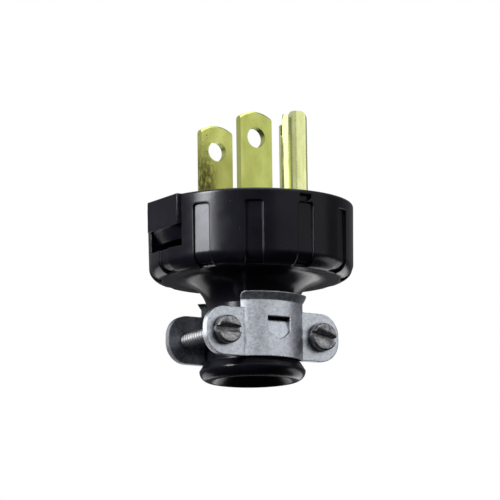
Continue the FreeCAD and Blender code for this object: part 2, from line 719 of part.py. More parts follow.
def make_ground_strap():
    """Brass plate from the staked foot of the ground pin to its terminal screw."""
    body = new_body("ground_strap")
    strap = new_sketch(body, "strap_outline", "XY_Plane", f"{CARRIER_BOTTOM} - dims.strap_thickness")
    add_loop(
        strap,
        [
            (TERMINAL_X, f"-{STRAP_HALF}"),
            (GROUND_X, f"-{STRAP_HALF}"),
            (STRAP_FAR, "0"),
            (GROUND_X, STRAP_HALF),
            (TERMINAL_X, STRAP_HALF),
            (f"{TERMINAL_X} - {STRAP_HALF}", "0"),
        ],
        {index: (STRAP_HALF, 1) for index in (1, 2, 4, 5)},
    )
    pad(body, strap, "dims.strap_thickness")
    holes = new_sketch(body, "strap_holes", "XY_Plane", CARRIER_BOTTOM)
    add_circle(holes, GROUND_X, "0", f"{GROUND_ROOT} + dims.thread_clearance")
    add_circle(holes, TERMINAL_X, "0", "dims.terminal_shank_radius + dims.thread_clearance")
    cut(body, holes, f"dims.strap_thickness + {OVERCUT}")
    return body


def make_slotted_screw(label, family, length):
    """Screw along its own Z, head up, with the underside of the head at its origin.

    The family, terminal or clamp, picks its sizes from the sheet.
    """
    body = new_body(label)
    shank = f"dims.{family}_shank_radius"
    head = f"dims.{family}_head_radius"
    top = f"dims.{family}_head_height"
    section = new_sketch(body, f"{label}_section", "XZ_Plane")
    add_loop(
        section,
        [
            ("0", f"-({length})"),
            (f"{shank} - dims.screw_tip_chamfer", f"-({length})"),
            (shank, f"dims.screw_tip_chamfer - ({length})"),
            (shank, "0"),
            (head, "0"),
            (head, f"{top} - dims.screw_head_round"),
            (f"{head} - dims.screw_head_round", top),
            ("0", top),
        ],
        {5: ("dims.screw_head_round", 1)},
    )
    revolve(body, section, "Z_Axis")
    slot = new_sketch(body, f"{label}_slot", "XY_Plane", top)
    half = f"dims.{family}_slot_width / 2"
    add_box(slot, f"-({head} + {OVERCUT})", f"{head} + {OVERCUT}", f"-{half}", half)
    cut(body, slot, f"dims.{family}_slot_depth")
    return body


def make_terminal_screw(label, x, y, plate):
    """Screw with its head under the plate that it is tapped into."""
    body = make_slotted_screw(label, "terminal", f"{plate} + {SCREW_HOLE_DEPTH} - dims.terminal_end_gap")
    head_down = FreeCAD.Rotation(FreeCAD.Vector(1, 0, 0), 180)
    body.Placement = FreeCAD.Placement(FreeCAD.Vector(), head_down)
    body.setExpression("Placement.Base.x", x)
    body.setExpression("Placement.Base.y", y)
    body.setExpression("Placement.Base.z", f"{CARRIER_BOTTOM} - {plate}")
    return body


def make_clamp_screw(label, side, slot_angle):
    """Screw through both clamp halves, head at -Y; side is -1 at -X and 1 at +X."""
    body = make_slotted_screw(label, "clamp", f"2 * {EAR_FRONT} + dims.clamp_screw_tip")
    head_forward = FreeCAD.Rotation(FreeCAD.Vector(1, 0, 0), 90)
    slot_turn = FreeCAD.Rotation(FreeCAD.Vector(0, 0, 1), slot_angle)
    body.Placement = FreeCAD.Placement(FreeCAD.Vector(), head_forward.multiply(slot_turn))
    body.setExpression("Placement.Base.x", f"{side} * {CLAMP_SCREW_X}")
    body.setExpression("Placement.Base.y", f"-{EAR_FRONT}")
    body.setExpression("Placement.Base.z", CLAMP_SCREW_Z)
    return body


def make_clamp_half(label, turn, hole_clearance):
    """Stamped half of the cord clamp, made at -Y and turned about Z."""
    body = new_body(label)
    plan = new_sketch(body, f"{label}_plan", "XY_Plane", CLAMP_BOTTOM)
    add_loop(
        plan,
        [
            (f"-{EAR_END}", f"-{EAR_BACK}"),
            (f"-{STRAP_END}", f"-{EAR_BACK}"),
            (STRAP_END, f"-{EAR_BACK}"),
            (EAR_END, f"-{EAR_BACK}"),
            (EAR_END, f"-{EAR_FRONT}"),
            (STRAP_END_OUTSIDE, f"-{EAR_FRONT}"),
            (f"-{STRAP_END_OUTSIDE}", f"-{EAR_FRONT}"),
            (f"-{EAR_END}", f"-{EAR_FRONT}"),
        ],
        {1: (CLAMP_INSIDE, 1), 5: (CLAMP_OUTSIDE, -1)},
    )
    pad(body, plan, "dims.clamp_ear_height")

    # Rounded bends between the strap and its ears, and rounded ends of the ears
    bend_x = number(STRAP_END_OUTSIDE)
    end_x = number(EAR_END)
    front_y = -number(EAR_FRONT)

    def at_bend(edge):
        point = edge.Vertexes[0].Point
        return is_upright(edge) and near(abs(point.x), bend_x) and near(point.y, front_y)

    def at_ear_corner(edge):
        box = edge.BoundBox
        across = near(box.XLength, 0) and near(box.ZLength, 0)
        return across and near(abs(box.XMin), end_x)

    dress_edges(body, "Fillet", f"{label}_bends", at_bend, "Radius", "dims.clamp_bend_round")
    dress_edges(body, "Fillet", f"{label}_ear_ends", at_ear_corner, "Radius", "dims.clamp_ear_corner")

    # Strap above the ears, ending on radial lines
    grow = f"({CLAMP_OUTSIDE} / {CLAMP_INSIDE})"
    strap = new_sketch(body, f"{label}_strap", "XY_Plane", EAR_TOP)
    add_loop(
        strap,
        [
            (f"-{STRAP_END}", f"-{EAR_BACK}"),
            (STRAP_END, f"-{EAR_BACK}"),
            (f"{STRAP_END} * {grow}", f"-{EAR_BACK} * {grow}"),
            (f"-{STRAP_END} * {grow}", f"-{EAR_BACK} * {grow}"),
        ],
        {0: (CLAMP_INSIDE, 1), 2: (CLAMP_OUTSIDE, -1)},
    )
    pad(body, strap, "dims.clamp_strap_top")

    # Flared lip along the top of the strap
    lip = new_sketch(body, f"{label}_lip", "YZ_Plane")
    add_loop(
        lip,
        [
            (f"-{CLAMP_INSIDE}", STRAP_TOP),
            (f"-{CLAMP_OUTSIDE}", STRAP_TOP),
            (f"-{CLAMP_OUTSIDE} - dims.clamp_lip_flare", LIP_TOP),
            (f"-{CLAMP_INSIDE} - dims.clamp_lip_flare", LIP_TOP),
        ],
    )
    revolve(body, lip, "Z_Axis", f"2 * acos({EAR_BACK} / {CLAMP_INSIDE})", symmetric=True)
    lip_height = number(LIP_TOP)

    def at_lip_end(edge):
        box = edge.BoundBox
        level = near(box.ZMin, lip_height) and near(box.ZMax, lip_height)
        return level and isinstance(edge.Curve, Part.Line)

    dress_edges(body, "Fillet", f"{label}_lip_ends", at_lip_end, "Radius", "dims.clamp_lip_corner")

    # Lanced tooth: a shield-shaped window with a tongue pressed in from its foot
    window = new_sketch(body, f"{label}_window", "XZ_Plane")
    half = "dims.tooth_width / 2"
    point_z = f"{TOOTH_BOTTOM} + dims.tooth_point"
    point_radius = "dims.tooth_width"
    add_loop(
        window,
        [
            (f"-{half}", TOOTH_TOP),
            (f"-{half}", point_z),
            ("0", TOOTH_BOTTOM),
            (half, point_z),
            (half, TOOTH_TOP),
        ],
        {1: (point_radius, 1), 2: (point_radius, 1)},
    )
    cut(body, window, along_normal=True)
    tongue = new_sketch(body, f"{label}_tongue", "YZ_Plane")
    tongue_top = f"{TOOTH_TOP} - dims.tooth_slot"
    pressed = f"{TOOTH_FACE} - dims.tooth_press"
    add_loop(
        tongue,
        [
            (f"-{TOOTH_FACE}", TOOTH_BOTTOM),
            (f"-({pressed})", tongue_top),
            (f"-{TOOTH_INSIDE}", tongue_top),
            (f"dims.tooth_thickness - {TOOTH_FACE}", TOOTH_BOTTOM),
        ],
    )
    pad(body, tongue, "dims.tooth_width", symmetric=True)

    # Holes for the two clamp screws
    holes = new_sketch(body, f"{label}_holes", "XZ_Plane")
    hole_radius = f"dims.clamp_shank_radius + {hole_clearance}"
    for side in (-1, 1):
        add_circle(holes, f"{side} * {CLAMP_SCREW_X}", CLAMP_SCREW_Z, hole_radius)
    cut(body, holes, along_normal=True)
    body.Placement = FreeCAD.Placement(FreeCAD.Vector(), FreeCAD.Rotation(FreeCAD.Vector(0, 0, 1), turn))
    return body


RIGHT_SLOT_ANGLE = -12

pieces = [
    make_body_shell(),
    make_contact_carrier(),
    make_blade("line_blade", -1),
    make_blade("neutral_blade", 1),
    make_ground_pin(),
    make_ground_strap(),
    make_terminal_screw("line_terminal_screw", BLADE_X, f"-{TERMINAL_Y}", "dims.blade_thickness"),
    make_terminal_screw("neutral_terminal_screw", BLADE_X, TERMINAL_Y, "dims.blade_thickness"),
    make_terminal_screw("ground_terminal_screw", TERMINAL_X, "0", "dims.strap_thickness"),
    make_clamp_half("front_clamp_half", 0, "dims.clamp_hole_clearance"),
    make_clamp_half("rear_clamp_half", 180, "dims.thread_clearance"),
    make_clamp_screw("left_clamp_screw", -1, 0),
    make_clamp_screw("right_clamp_screw", 1, RIGHT_SLOT_ANGLE),
]
doc.recompute()

for item in doc.Objects:
    if "Invalid" in item.State or "Error" in item.State:
        raise RuntimeError(f"{item.Label} failed: {item.State}")
for piece in pieces:
    if piece.Shape.isNull() or not piece.Shape.isValid() or len(piece.Shape.Solids) != 1:
        raise RuntimeError(f"{piece.Label} is not one valid solid")

os.makedirs("parts", exist_ok=True)
for piece in pieces:
    piece.Shape.exportStep(f"parts/{piece.Label}.step")
    print(f"{piece.Label}: {piece.Shape.Volume:.1f} mm3")
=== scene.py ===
import math

import bmesh
import bpy
from mathutils import Matrix, Vector


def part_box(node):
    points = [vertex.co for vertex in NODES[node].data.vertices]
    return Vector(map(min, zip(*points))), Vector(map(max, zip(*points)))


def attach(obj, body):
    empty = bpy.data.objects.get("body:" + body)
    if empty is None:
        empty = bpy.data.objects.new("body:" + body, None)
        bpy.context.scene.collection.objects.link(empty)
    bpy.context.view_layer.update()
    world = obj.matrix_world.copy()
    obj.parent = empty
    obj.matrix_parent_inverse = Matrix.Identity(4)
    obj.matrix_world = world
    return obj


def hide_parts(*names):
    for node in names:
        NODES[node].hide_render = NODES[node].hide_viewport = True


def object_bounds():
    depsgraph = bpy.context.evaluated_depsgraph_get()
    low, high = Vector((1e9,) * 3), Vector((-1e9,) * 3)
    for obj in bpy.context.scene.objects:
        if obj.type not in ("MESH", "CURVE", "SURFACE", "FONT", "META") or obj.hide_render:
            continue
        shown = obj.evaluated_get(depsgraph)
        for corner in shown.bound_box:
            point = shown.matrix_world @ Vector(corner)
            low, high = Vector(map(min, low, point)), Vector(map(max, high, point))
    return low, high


# Looks of a round rewireable plug: a black rubber body, worn brass pins and a zinc-plated
# cord clamp with steel screws. All lengths are in metres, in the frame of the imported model,
# apart from those inside the materials, which are in millimetres.

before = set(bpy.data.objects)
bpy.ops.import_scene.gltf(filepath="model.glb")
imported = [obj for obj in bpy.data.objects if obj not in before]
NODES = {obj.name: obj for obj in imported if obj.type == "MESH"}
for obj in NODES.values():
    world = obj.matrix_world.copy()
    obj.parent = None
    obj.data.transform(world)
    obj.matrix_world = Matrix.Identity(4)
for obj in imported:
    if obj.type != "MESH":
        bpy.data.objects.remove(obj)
CAD_LOW, CAD_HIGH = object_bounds()
MM = 0.001

# Camera, in degrees and metres: azimuth 0 looks along +Y, elevation is above the horizon, and the lens
# and its sensor are in millimetres
CAMERA_AZIMUTH = -32.0
CAMERA_ELEVATION = -10.4
CAMERA_ROLL = -0.8
CAMERA_DISTANCE = 600 * MM
CAMERA_LENS = 254.0
CAMERA_CLIP = 10 * MM
SENSOR_WIDTH = 36.0
TARGET_HEIGHT = 22.6 * MM
TARGET_SHIFT = -0.14 * MM

# Floor and background
FLOOR_HALF = 2.0
FLOOR_DROP = 0.02 * MM
FLOOR_DARK = (0.80, 0.80, 0.80)
FLOOR_LIGHT = (0.86, 0.86, 0.86)
BACKGROUND_WHITE = (1.0, 1.0, 1.0, 1.0)

# Greys of the sky, and their places from 0, straight below, to 1, straight above
SKY_LOW = 0.03
SKY_LEVEL = 0.07
SKY_HIGH = 0.3
SKY_LOW_PLACE = 0.3
SKY_LEVEL_PLACE = 0.5
SKY_HIGH_PLACE = 0.85
SKY_BLUE = 1.05

# Softboxes around the plug: azimuth and elevation in degrees, width and height in metres, brightness,
# and the group of pieces that the box lights, because black rubber takes far more light than metal
LIGHT_DISTANCE = 500 * MM
SOFTBOXES = {
    "left_rubber_box": (-83, 24, 0.14, 0.26, 48.0, "rubber"),
    "left_brass_box": (-102, 20, 0.50, 0.40, 1.5, "brass"),
    "left_brass_fill": (-164, 20, 0.50, 0.40, 0.3, "brass"),
    "left_clamp_box": (-104, 20, 0.94, 0.40, 1.25, "clamp"),
    "clamp_edge": (-54, 20, 0.10, 0.36, 3.0, "clamp"),
    "front_metal_box": (-25, 20, 0.24, 0.36, 0.45, "front_metal"),
    "left_fill": (-112, 14, 0.28, 0.40, 0.15, "rubber"),
    "right_rubber_fill": (28, 20, 0.64, 0.36, 0.62, "rubber"),
    "right_metal_fill": (28, 20, 0.64, 0.36, 0.75, "front_metal"),
    "right_edge": (80, 18, 0.30, 0.36, 0.85, "brass"),
    "top_box": (10, 75, 0.50, 0.50, 1.5, "all"),
    "back_left": (-150, 12, 0.36, 0.30, 0.1, "rubber"),
    "low_back": (182, -25, 0.36, 0.22, 1.3, "rubber"),
    "back_clamp_box": (200, 12, 0.50, 0.36, 1.0, "both_clamps"),
    "front_bounce": (-10, -20, 0.70, 0.12, 0.3, "metal"),
    "right_bounce": (80, -22, 0.70, 0.16, 0.9, "brass"),
    "back_bounce": (160, -22, 0.80, 0.18, 1.3, "metal"),
    "left_bounce": (-100, -20, 0.70, 0.12, 0.3, "metal"),
    "rubber_bounce": (100, -25, 0.80, 0.20, 2.0, "rubber"),
}

# Rounded edges of the contact carrier: their width, the sharpest angle that stays as it is, the steps of
# the round, and the angle up to which neighbouring faces count as one flat face, all angles in degrees
CARRIER_EDGE = 0.15 * MM
CARRIER_EDGE_ANGLE = 35
EDGE_STEPS = 3
FLAT_ANGLE = 0.5

# Thread of the clamp screws: the groove deepens over the first turns, and edges above an angle in degrees
# stay sharp
THREAD_PITCH = 0.75 * MM
THREAD_DEPTH = 0.35 * MM
THREAD_FADE_TURNS = 2
THREAD_SEGMENTS = 40
RINGS_PER_TURN = 8
HEAD_OVERLAP = 0.1 * MM
CREASE_ANGLE = 25

# Marks on the corners of a threaded piece: 1 on the shank, and 0 on a crest to 1 in a groove
SHANK_MARK = "shank"
GROOVE_MARK = "groove"

# Coincident corners of neighbouring faces are joined below this distance
WELD_DISTANCE = 0.001 * MM

# Colours of the rubber, and of the dirt and wear on it
RUBBER_BLACK = (0.0025, 0.0023, 0.0045)
RUBBER_HAZE = (0.005, 0.0048, 0.008)
RUBBER_SCUFF = (0.015, 0.015, 0.018)
RUBBER_DUST = (0.05, 0.05, 0.055)
RUBBER_SHINE = (0.92, 0.94, 1.0, 1.0)

# Colours of what darkens the brass
BRASS_SPECK = (0.05, 0.045, 0.015)
BRASS_LOWER_TONE = (0.24, 0.23, 0.05)
BRASS_STAIN = (0.09, 0.075, 0.018)

# Part of a blade that is darker and stained, in millimetres down from its top and right from its left edge
STAIN_START_DROP = 2.0
STAIN_FULL_DROP = 10.0
STAIN_FULL_WIDTH = 1.1
STAIN_END_WIDTH = 3.6

# Colours of the worn edges of the other metals, which also paint a highlight on those edges, of the dirt
# on them, and of the painted shade in their corners and thread grooves
BRIGHT_WEAR_AND_HIGHLIGHT = (0.92, 0.94, 0.97)
GREEN_WEAR_AND_HIGHLIGHT = (0.30, 0.45, 0.33)
YELLOW_WEAR_AND_HIGHLIGHT = (0.80, 0.65, 0.30)
METAL_BLOTCH = (0.05, 0.05, 0.055)
METAL_CORNER_SHADE = (0.03, 0.03, 0.03)
METAL_PIT = (0.1, 0.1, 0.1)
GROOVE_SHADE = (0.08, 0.08, 0.08)

# Numbers of a mix node's colour sockets, which share their names with its other sockets
MIX_FIRST = 6
MIX_SECOND = 7
MIX_RESULT = 2

# Share of a speck's radius that has its full colour
SPECK_CORE = 0.4

# Corners: rays that look for them, and the share of rays that get away on an open face and in a corner
CORNER_RAYS = 8
OPEN_SHARE = 0.8
CORNER_SHARE = 0.4

# Edges: rays that look for them, and the cosine of a normal's turn on a flat face and on an edge
EDGE_RAYS = 6
FLAT_COSINE = 0.98
EDGE_COSINE = 0.85


class Shader:
    """Node material that is built up by short calls; sizes inside it are in millimetres."""

    def __init__(self, name):
        self.material = bpy.data.materials.new(name)
        self.material.use_nodes = True
        self.tree = self.material.node_tree
        self.surface = self.tree.nodes["Principled BSDF"]
        self.place = self.node("ShaderNodeTexCoord").outputs["Object"]

    def node(self, kind, inputs=None, **settings):
        """New node with its settings made, and its inputs linked or set."""
        made = self.tree.nodes.new(kind)
        for key, value in settings.items():
            setattr(made, key, value)
        for key, value in (inputs or {}).items():
            self.feed(made.inputs[key], value)
        return made

    def feed(self, socket, value):
        """Link another node's output to the socket, or set a plain value on it."""
        if isinstance(value, bpy.types.NodeSocket):
            self.tree.links.new(value, socket)
        else:
            socket.default_value = value

    def set(self, **inputs):
        """Sockets of the surface shader, by name with _ for a space."""
        for key, value in inputs.items():
            self.feed(self.surface.inputs[key.replace("_", " ")], value)

    def stretched(self, stretch, shift=0.0):
        """Position in millimetres, divided by a stretch along each axis and then shifted."""
        scale = tuple(1 / (MM * length) for length in stretch)
        inputs = {"Vector": self.place, "Scale": scale, "Location": (shift, shift, shift)}
        return self.node("ShaderNodeMapping", inputs).outputs["Vector"]

    def noise(self, size, detail=2.0, shift=0.0, stretch=(1, 1, 1)):
        """Cloudy noise from 0 to 1 with features of about the given size."""
        vector = self.stretched([size * length for length in stretch], shift)
        inputs = {"Vector": vector, "Scale": 1.0, "Detail": detail}
        return self.node("ShaderNodeTexNoise", inputs).outputs["Fac"]

    def voronoi(self, size, output, shift=0.0):
        """Output of a pattern of cells of about the given size."""
        inputs = {"Vector": self.stretched((size, size, size), shift), "Scale": 1.0}
        return self.node("ShaderNodeTexVoronoi", inputs).outputs[output]

    def crystals(self, size):
        """Random grey for each cell of a pattern."""
        colour = self.voronoi(size, "Color")
        return self.node("ShaderNodeSeparateColor", {"Color": colour}).outputs["Red"]

    def spots(self, size, radius, shift=0.0):
        """1 inside round specks, a given size apart, and 0 outside; the radius is a share of the size."""
        return self.span(self.voronoi(size, "Distance", shift), radius, radius * SPECK_CORE)

    def along(self, axis):
        """Position along X, Y or Z, in millimetres."""
        vector = self.stretched((1, 1, 1))
        return self.node("ShaderNodeSeparateXYZ", {"Vector": vector}).outputs[axis]

    def mark(self, name):
        """Number that the corners of a mesh carry under a name."""
        return self.node("ShaderNodeAttribute", attribute_name=name).outputs["Fac"]

    def span(self, value, start, end, low=0.0, high=1.0):
        """Smooth step from low at start to high at end."""
        inputs = {"Value": value, "From Min": start, "From Max": end, "To Min": low, "To Max": high}
        made = self.node("ShaderNodeMapRange", inputs, interpolation_type="SMOOTHSTEP")
        return made.outputs["Result"]

    def plus(self, first, second):
        return self.node("ShaderNodeMath", {0: first, 1: second}, operation="ADD").outputs["Value"]

    def times(self, first, second):
        return self.node("ShaderNodeMath", {0: first, 1: second}, operation="MULTIPLY").outputs["Value"]

    def mix(self, amount, first, second):
        """Colour between two others; plain colours are given as red, green and blue."""
        made = self.node("ShaderNodeMix", data_type="RGBA")
        self.feed(made.inputs["Factor"], amount)
        for number, colour in ((MIX_FIRST, first), (MIX_SECOND, second)):
            self.feed(made.inputs[number], (*colour, 1) if isinstance(colour, tuple) else colour)
        return made.outputs[MIX_RESULT]

    def crevices(self, reach):
        """1 in the corners and slots that a reach in millimetres closes in, and 0 on open faces."""
        shade = self.node("ShaderNodeAmbientOcclusion", {"Distance": reach * MM}, samples=CORNER_RAYS)
        return self.span(shade.outputs["AO"], OPEN_SHARE, CORNER_SHARE)

    def rounded(self, reach):
        """Normal that makes edges look rounded within a reach in millimetres."""
        return self.node("ShaderNodeBevel", {"Radius": reach * MM}, samples=EDGE_RAYS).outputs["Normal"]

    def edges(self, reach):
        """1 along the edges, within a reach in millimetres, and 0 on the faces between them."""
        flat = self.node("ShaderNodeNewGeometry").outputs["Normal"]
        inputs = {0: self.rounded(reach), 1: flat}
        turn = self.node("ShaderNodeVectorMath", inputs, operation="DOT_PRODUCT").outputs["Value"]
        return self.span(turn, FLAT_COSINE, EDGE_COSINE)

    def relief(self, height, depth, edge_round):
        """Bump of a given depth on edges that look rounded, both in millimetres."""
        inputs = {"Height": height, "Distance": depth * MM, "Normal": self.rounded(edge_round)}
        self.set(Normal=self.node("ShaderNodeBump", inputs).outputs["Normal"])


def rubber(name, gloss, edge_round):
    """Black moulded rubber: satin, dull in its corners, with haze, scuffs, dust and a fine grain."""
    shader = Shader(name)
    haze = shader.span(shader.noise(7.0, detail=4), 0.4, 0.75)
    scuffs = shader.span(shader.noise(0.9, detail=5, shift=9), 0.6, 0.8)
    colour = shader.mix(haze, RUBBER_BLACK, RUBBER_HAZE)
    colour = shader.mix(shader.times(scuffs, 0.3), colour, RUBBER_SCUFF)
    colour = shader.mix(shader.spots(1.6, 0.05, shift=3), colour, RUBBER_DUST)
    patches = shader.noise(2.2, detail=5, shift=5)
    roughness = shader.span(patches, 0.25, 0.75, gloss, gloss + 0.06)
    roughness = shader.plus(roughness, shader.times(shader.crevices(0.8), 0.5))
    shader.set(Base_Color=colour, Roughness=roughness, Specular_IOR_Level=0.24, Specular_Tint=RUBBER_SHINE)
    grain = shader.plus(shader.noise(0.16, detail=3), shader.times(patches, 2.0))
    shader.relief(grain, 0.003, edge_round)
    return shader.material


def brass(name, bright, dull, gloss, stained=None):
    """Stamped brass with faint drawing streaks and specks.

    A stained blade, given by its lowest and highest corner, is darker towards its bottom and blotched at
    its left edge.
    """
    shader = Shader(name)
    tone = shader.noise(2.5, detail=4, stretch=(1, 1, 2))
    streaks = shader.noise(0.3, detail=3, stretch=(1, 1, 25))
    colour = shader.mix(shader.span(tone, 0.3, 0.7), dull, bright)
    colour = shader.mix(shader.span(streaks, 0.5, 0.8, 0.0, 0.3), colour, dull)
    specks = shader.spots(1.1, 0.07, shift=2)
    roughness = shader.span(tone, 0.3, 0.7, gloss + 0.1, gloss)
    if stained:
        edge = stained[0].x / MM
        top = stained[1].z / MM
        low = shader.span(shader.along("Z"), top - STAIN_START_DROP, top - STAIN_FULL_DROP)
        left = shader.span(shader.along("X"), edge + STAIN_END_WIDTH, edge + STAIN_FULL_WIDTH)
        blotches = shader.span(shader.noise(0.7, detail=6, shift=4, stretch=(0.8, 1, 1.6)), 0.3, 0.6)
        stains = shader.times(blotches, shader.times(left, low))
        # the blade turns darker and browner towards its bottom
        colour = shader.mix(shader.times(low, 0.45), colour, BRASS_LOWER_TONE)
        colour = shader.mix(shader.times(stains, 0.9), colour, BRASS_STAIN)
        specks = shader.plus(specks, shader.times(shader.spots(0.7, 0.2, shift=7), left))
        roughness = shader.plus(roughness, shader.times(stains, 0.15))
    colour = shader.mix(specks, colour, BRASS_SPECK)
    shader.set(Metallic=1.0, Base_Color=colour, Roughness=roughness)
    dents = shader.plus(streaks, shader.times(shader.noise(0.9, detail=3, shift=6), 3.0))
    shader.relief(dents, 0.004, 0.02)
    return shader.material


def plated(name, light, dark, worn_and_highlight, softness, gloss, grime, edge_round, threaded=False):
    """Plated or bare metal with a mottled crystal grain, scratches, worn edges that also carry a painted
    highlight, and painted shade in its corners.

    On a threaded piece the shank is bright and plain, with painted shade in the grooves.
    """
    shader = Shader(name)
    crystals = shader.times(shader.crystals(0.35), 0.35)
    mottle = shader.plus(crystals, shader.times(shader.noise(0.8, detail=5), 0.65))
    colour = shader.mix(shader.span(mottle, 0.5 - softness, 0.5 + softness), dark, light)
    roughness = shader.span(mottle, 0.2, 0.8, gloss, gloss + 0.1)
    # the rims are worn, and their brighter colour is also a painted highlight
    worn_highlit_rims = shader.edges(edge_round)
    colour = shader.mix(worn_highlit_rims, colour, worn_and_highlight)
    roughness = shader.plus(roughness, shader.times(worn_highlit_rims, -0.1))
    if threaded:
        shank = shader.mark(SHANK_MARK)
        colour = shader.mix(shank, colour, worn_and_highlight)
        # painted shade: the grooves of the thread are darkened
        colour = shader.mix(shader.mark(GROOVE_MARK), colour, GROOVE_SHADE)
        roughness = shader.plus(roughness, shader.times(shank, 0.1))
    blotches = shader.span(shader.noise(1.4, detail=6, shift=8), 0.56, 0.72)
    colour = shader.mix(shader.times(blotches, grime), colour, METAL_BLOTCH)
    # painted shade: the corners, slots and gaps that the rays find are darkened
    colour = shader.mix(shader.times(shader.crevices(0.9), 0.9), colour, METAL_CORNER_SHADE)
    colour = shader.mix(shader.spots(1.3, 0.1, shift=5), colour, METAL_PIT)
    shader.set(Metallic=1.0, Base_Color=colour, Roughness=roughness)
    scratches = shader.noise(0.1, detail=2, stretch=(12, 1, 1), shift=2)
    shader.relief(shader.plus(shader.times(mottle, 2.0), scratches), 0.004, edge_round)
    return shader.material


def pale_floor():
    """Pale matt sheet that shows from above only, so that the plug can be seen from below."""
    shader = Shader("pale_floor")
    shader.set(Base_Color=shader.mix(shader.noise(60, detail=3), FLOOR_DARK, FLOOR_LIGHT), Roughness=0.8)
    below = shader.node("ShaderNodeNewGeometry").outputs["Backfacing"]
    clear = shader.node("ShaderNodeBsdfTransparent").outputs["BSDF"]
    sheet = shader.surface.outputs["BSDF"]
    both = shader.node("ShaderNodeMixShader", {"Fac": below, 1: sheet, 2: clear})
    shader.feed(shader.tree.nodes["Material Output"].inputs["Surface"], both.outputs["Shader"])
    return shader.material


def paint(piece, material):
    """Give a piece one material in place of those that it has."""
    piece.data.materials.clear()
    piece.data.materials.append(material)


def shade_smooth(mesh):
    for polygon in mesh.polygons:
        polygon.use_smooth = True


def soften(piece, width, sharpest):
    """Round the edges that are sharper than an angle in degrees, with modifiers, and shade smooth."""
    weld = piece.modifiers.new("weld", "WELD")
    weld.merge_threshold = WELD_DISTANCE
    flat = piece.modifiers.new("flat_faces", "DECIMATE")
    flat.decimate_type = "DISSOLVE"
    flat.angle_limit = math.radians(FLAT_ANGLE)
    bevel = piece.modifiers.new("edges", "BEVEL")
    bevel.width = width
    bevel.segments = EDGE_STEPS
    bevel.limit_method = "ANGLE"
    bevel.angle_limit = math.radians(sharpest)
    bevel.use_clamp_overlap = False
    bevel.miter_outer = "MITER_ARC"
    piece.modifiers.new("normals", "WEIGHTED_NORMAL")
    shade_smooth(piece.data)


def screw_sizes(node):
    """Axis in X and Z, underside of the head and end of the shank in Y, and the shank's radius."""
    low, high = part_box(node.name)
    axis = (low + high) / 2
    radii = [(math.hypot(v.co.x - axis.x, v.co.z - axis.z), v.co.y) for v in node.data.vertices]
    shank = max(radius for radius, y in radii if y > axis.y)
    underside = max(y for radius, y in radii if radius > shank + WELD_DISTANCE)
    return axis, underside, high.y, shank


def screw_head(bm, node, underside):
    """Head of a CAD screw, cut off at its underside and closed."""
    bm.from_mesh(node.data)
    bmesh.ops.remove_doubles(bm, verts=bm.verts, dist=WELD_DISTANCE)
    cut = bmesh.ops.bisect_plane(
        bm,
        geom=bm.verts[:] + bm.edges[:] + bm.faces[:],
        plane_co=(0, underside + WELD_DISTANCE, 0),
        plane_no=(0, 1, 0),
        clear_outer=True,
    )
    rim = [item for item in cut["geom_cut"] if isinstance(item, bmesh.types.BMEdge)]
    bmesh.ops.holes_fill(bm, edges=rim, sides=0)


def screw_thread(bm, axis, start, end, radius):
    """Closed threaded shank along Y, plain beside the head and chamfered at its end."""
    length = end - start
    count = round(length / THREAD_PITCH * RINGS_PER_TURN)
    shank_mark = bm.verts.layers.float.new(SHANK_MARK)
    groove_mark = bm.verts.layers.float.new(GROOVE_MARK)
    rings = []
    for step in range(count + 1):
        along = length * step / count
        fade = min(1.0, along / (THREAD_FADE_TURNS * THREAD_PITCH))
        chamfer = max(0.0, THREAD_DEPTH - (length - along))
        ring = []
        for segment in range(THREAD_SEGMENTS):
            turn = segment / THREAD_SEGMENTS
            phase = (along / THREAD_PITCH + turn) % 1.0
            groove = THREAD_DEPTH * fade * (1 - abs(2 * phase - 1))
            reach = radius - max(groove, chamfer)
            angle = math.tau * turn
            place = (axis.x + reach * math.cos(angle), start + along, axis.z + reach * math.sin(angle))
            corner = bm.verts.new(place)
            corner[shank_mark] = 1.0
            corner[groove_mark] = groove / THREAD_DEPTH
            ring.append(corner)
        rings.append(ring)
    for ring, following in zip(rings, rings[1:]):
        for segment in range(THREAD_SEGMENTS):
            beside = (segment + 1) % THREAD_SEGMENTS
            bm.faces.new((ring[segment], following[segment], following[beside], ring[beside]))
    bm.faces.new(rings[0])
    bm.faces.new(reversed(rings[-1]))


def threaded_screw(node, material):
    """Clamp screw with a cut thread, in the place of its plain CAD solid."""
    axis, underside, end, radius = screw_sizes(node)
    bm = bmesh.new()
    screw_head(bm, node, underside)
    screw_thread(bm, axis, underside - HEAD_OVERLAP, end, radius)
    bmesh.ops.recalc_face_normals(bm, faces=bm.faces)
    mesh = bpy.data.meshes.new(f"{node.name}_threaded")
    bm.to_mesh(mesh)
    bm.free()
    piece = bpy.data.objects.new(mesh.name, mesh)
    bpy.context.scene.collection.objects.link(piece)
    paint(piece, material)
    shade_smooth(mesh)
    mesh.set_sharp_from_angle(angle=math.radians(CREASE_ANGLE))
    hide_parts(node.name)
    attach(piece, "root")
    return piece


def direction(azimuth, elevation):
    """Unit vector from the plug towards an azimuth and elevation in degrees."""
    turn = math.radians(azimuth)
    rise = math.radians(elevation)
    return Vector((math.sin(turn) * math.cos(rise), -math.cos(turn) * math.cos(rise), math.sin(rise)))


def group(name, pieces):
    """Collection that only picks out pieces for a light; it isn't shown itself."""
    collection = bpy.data.collections.new(name)
    for piece in pieces:
        collection.objects.link(piece)
    return collection


